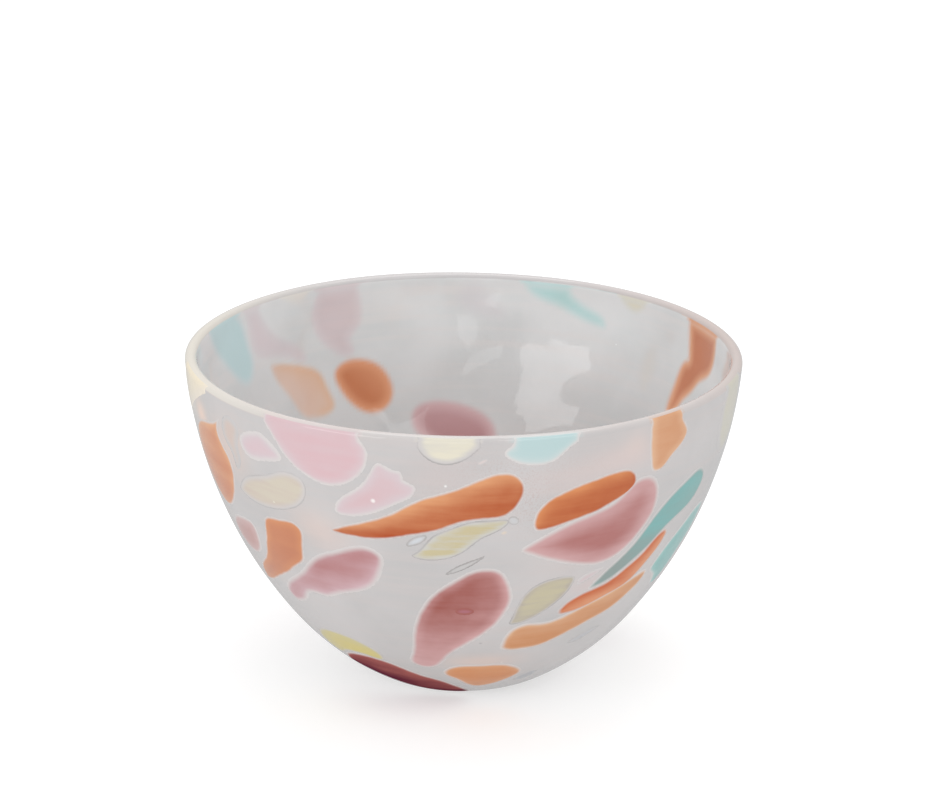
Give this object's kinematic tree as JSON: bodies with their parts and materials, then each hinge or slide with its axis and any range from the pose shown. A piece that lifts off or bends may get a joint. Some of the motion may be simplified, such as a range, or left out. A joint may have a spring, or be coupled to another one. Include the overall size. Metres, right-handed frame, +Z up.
{
  "type": "art glass bowl",
  "caption": "Round-bottomed blown glass bowl: milky white body with coloured glass pieces melted into its outer face, rounded lip and small flat foot.",
  "frame": {"origin": "on the bowl's axis, at the plane of its foot", "axes": "+Z up along the bowl's axis; -Y is the side shown as the front"},
  "size_m": [0.18, 0.1802, 0.1088],
  "materials": {
    "milky_glass": "gloss",
    "clear_glass": "gloss",
    "orange_glass": "gloss",
    "deep_orange_glass": "gloss",
    "pale_orange_glass": "gloss",
    "red_orange_glass": "gloss",
    "rose_glass": "gloss",
    "deep_rose_glass": "gloss",
    "pink_glass": "gloss",
    "maroon_glass": "gloss",
    "turquoise_glass": "gloss",
    "pale_turquoise_glass": "gloss",
    "cream_glass": "gloss",
    "yellow_glass": "gloss",
    "olive_glass": "gloss",
    "peach_glass": "gloss"
  },
  "bodies": {
    "root": {"bowl_wall": "milky_glass", "clear_sliver_back": "clear_glass", "clear_sliver_low": "clear_glass", "clear_sliver_middle": "clear_glass", "clear_splinter": "clear_glass", "clear_spot_low": "clear_glass", "cream_left": "cream_glass", "cream_right_side": "cream_glass", "cream_rim_back": "cream_glass", "cream_rim_back_left": "cream_glass", "cream_rim_front": "cream_glass", "cream_rim_left": "cream_glass", "maroon_back": "deep_rose_glass", "maroon_low_left": "maroon_glass", "maroon_right_low": "maroon_glass", "olive_lens": "olive_glass", "orange_back_low": "orange_glass", "orange_block": "orange_glass", "orange_far_left": "orange_glass", "orange_left_back": "orange_glass", "orange_left_side": "orange_glass", "orange_low_front": "orange_glass", "orange_lozenge": "deep_orange_glass", "orange_oval_back": "deep_orange_glass", "orange_ribbon": "orange_glass", "orange_right_low": "orange_glass", "orange_rim_back": "orange_glass", "orange_rim_right": "orange_glass", "orange_streak": "orange_glass", "pale_orange_back": "pale_orange_glass", "pale_turquoise_back": "pale_turquoise_glass", "pale_turquoise_rim": "pale_turquoise_glass", "peach_back": "peach_glass", "peach_left": "peach_glass", "pink_back_low": "pink_glass", "pink_left_low": "pink_glass", "pink_rim_back": "pink_glass", "pink_rim_left": "pink_glass", "pink_shard": "pink_glass", "pink_sickle_back": "pink_glass", "pink_small": "pink_glass", "pink_smoke_back": "pink_glass", "pink_wisp": "pink_glass", "red_sliver": "red_orange_glass", "rose_back_low": "rose_glass", "rose_centre": "deep_rose_glass", "rose_far_left": "rose_glass", "rose_kidney": "rose_glass", "rose_leaf": "rose_glass", "rose_left_side": "rose_glass", "rose_right_side": "rose_glass", "turquoise_back_low": "turquoise_glass", "turquoise_far_right": "turquoise_glass", "turquoise_left_back": "turquoise_glass", "turquoise_rim_back": "turquoise_glass", "turquoise_sweep": "turquoise_glass", "yellow_back_low": "yellow_glass", "yellow_leaf": "yellow_glass", "yellow_low_left": "yellow_glass", "yellow_rim_right": "yellow_glass"}
  },
  "joints": []
}
